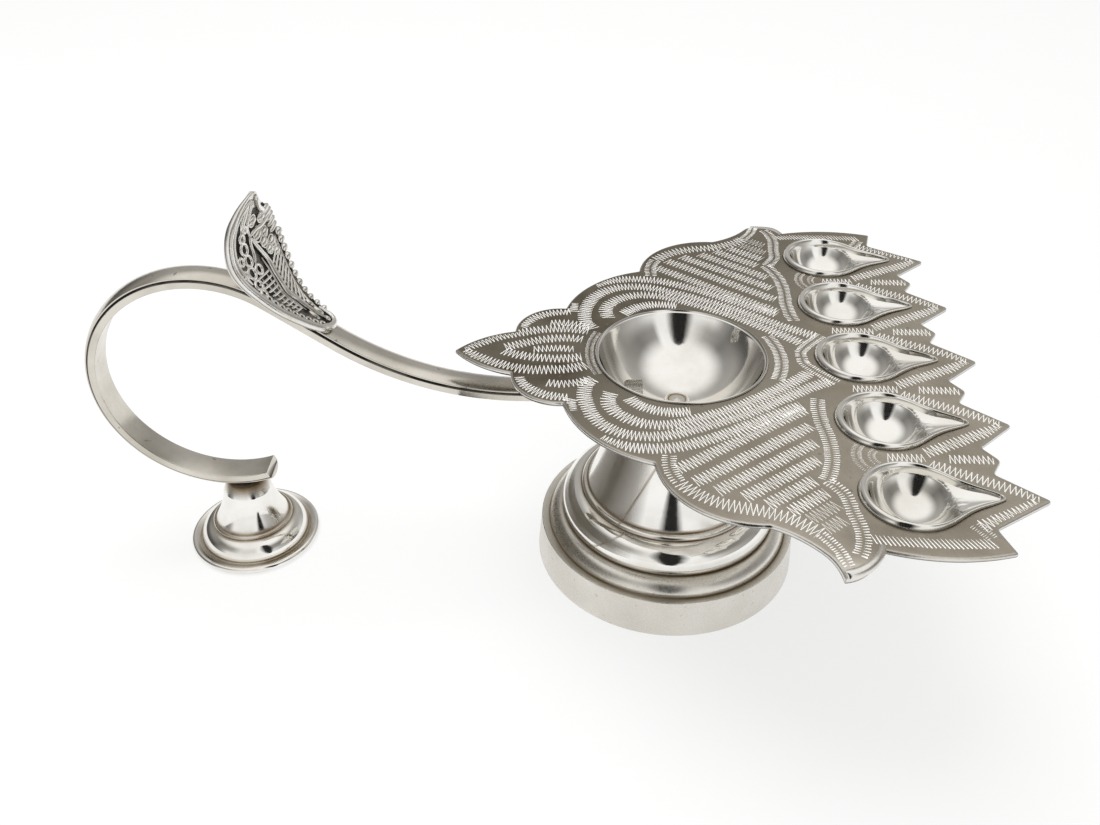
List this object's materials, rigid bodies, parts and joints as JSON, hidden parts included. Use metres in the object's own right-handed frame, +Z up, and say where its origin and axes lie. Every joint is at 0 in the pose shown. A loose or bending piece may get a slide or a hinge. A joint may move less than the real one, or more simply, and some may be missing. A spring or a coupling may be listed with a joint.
{
  "type": "aarti lamp",
  "caption": "Hand-held aarti lamp: engraved leaf-shaped plate with a centre bowl and a row of wick cups on a turned pedestal, with a curled strap handle on a small foot.",
  "frame": {"origin": "on the table, on the pedestal's axis", "axes": "+X from the pedestal towards the wick cups, away from the handle; +Z up; the lamp is symmetric about the XZ plane"},
  "size_m": [0.2068, 0.1392, 0.097],
  "materials": {
    "polished_metal": "polished white metal with brown residue in the grooves",
    "satin_metal": "soft satin white metal",
    "engraved_plate": "matt grey-brown sheet with bright-cut zigzag rows",
    "cast_metal": "cast relief, dark in the hollows and bright on the ridges"
  },
  "bodies": {
    "root": {"lamp_plate": "engraved_plate", "centre_bowl": "polished_metal", "bowl_rivet": "polished_metal", "pedestal_neck": "polished_metal", "pedestal_collar": "polished_metal", "pedestal_drum": "satin_metal", "handle_strip": "satin_metal", "handle_band": "satin_metal", "thumb_leaf": "cast_metal", "foot_base": "polished_metal", "foot_neck": "polished_metal", "wick_cup_1": "polished_metal", "wick_cup_2": "polished_metal", "wick_cup_3": "polished_metal", "wick_cup_4": "polished_metal", "wick_cup_5": "polished_metal"}
  },
  "joints": []
}
